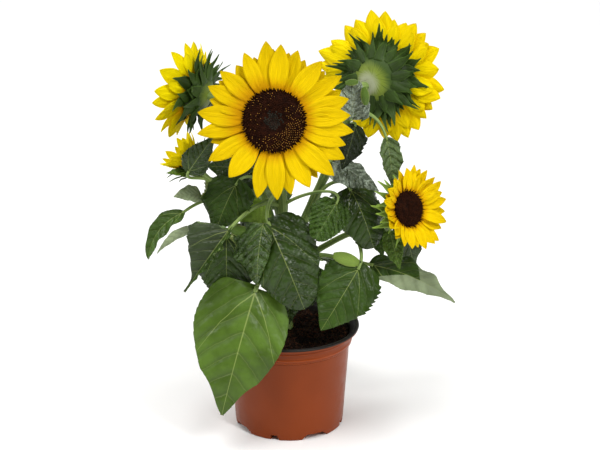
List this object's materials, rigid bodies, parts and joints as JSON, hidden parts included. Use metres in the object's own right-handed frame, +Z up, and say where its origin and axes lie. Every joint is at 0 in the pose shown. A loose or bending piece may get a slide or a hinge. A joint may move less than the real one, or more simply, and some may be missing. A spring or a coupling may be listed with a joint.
{
  "type": "potted sunflower plant",
  "caption": "Potted sunflower plant with yellow flower heads on branching stems, broad hanging leaves and a round plastic nursery pot filled with soil.",
  "frame": {"origin": "centre of the pot's flat underside, on the surface that the pot stands on", "axes": "+Z up along the pot's axis, -Y towards the front, where the largest flower faces, +X to the right seen from the front"},
  "size_m": [0.2822, 0.1878, 0.3795],
  "materials": {
    "pot_plastic": "smooth terracotta-coloured plastic with a soft sheen",
    "soil": "moist dark potting soil with fibres and bark crumbs",
    "stem": "light green stem with fine hairs",
    "leaf": "dark green quilted leaf with pale veins",
    "young_leaf": "paler, smoother yellow-green young leaf",
    "ray": "bright yellow ray petal with fine lengthwise veins",
    "bract": "green pointed bract with fine hairs",
    "disc": "dark brown disc of small florets"
  },
  "bodies": {
    "root": {"back_left_flower_bracts": "bract", "back_left_flower_disc": "disc", "back_left_flower_rays": "ray", "back_right_flower_bracts": "bract", "back_right_flower_disc": "disc", "back_right_flower_rays": "ray", "front_flower_bracts": "bract", "front_flower_disc": "disc", "front_flower_rays": "ray", "leaf_back_high": "leaf", "leaf_back_high_right": "leaf", "leaf_back_left": "leaf", "leaf_back_low_left": "leaf", "leaf_back_low_right": "leaf", "leaf_back_middle": "leaf", "leaf_back_right": "leaf", "leaf_bud_outer": "young_leaf", "leaf_by_bud": "young_leaf", "leaf_centre_pale": "young_leaf", "leaf_far_left": "young_leaf", "leaf_far_left_rear": "young_leaf", "leaf_far_right": "leaf", "leaf_flower_collar": "young_leaf", "leaf_front_hanging": "young_leaf", "leaf_front_middle": "leaf", "leaf_left_dark": "leaf", "leaf_left_folded": "leaf", "leaf_left_middle": "leaf", "leaf_left_upper": "leaf", "leaf_low_front": "leaf", "leaf_low_inner": "leaf", "leaf_middle_dark": "leaf", "leaf_right_broad": "leaf", "leaf_right_inner": "leaf", "leaf_right_low": "leaf", "leaf_right_notch": "leaf", "leaf_right_rear": "leaf", "leaf_right_silver": "young_leaf", "leaf_right_upper": "leaf", "leaf_right_upright": "leaf", "leaf_under_flower": "leaf", "left_short_stem": "stem", "left_tall_stem": "stem", "main_stem": "stem", "pot": "pot_plastic", "right_short_stem": "stem", "right_tall_stem": "stem", "small_left_flower_bracts": "bract", "small_left_flower_disc": "disc", "small_left_flower_rays": "ray", "small_right_flower_bracts": "bract", "small_right_flower_disc": "disc", "small_right_flower_rays": "ray", "soil": "soil"}
  },
  "joints": []
}
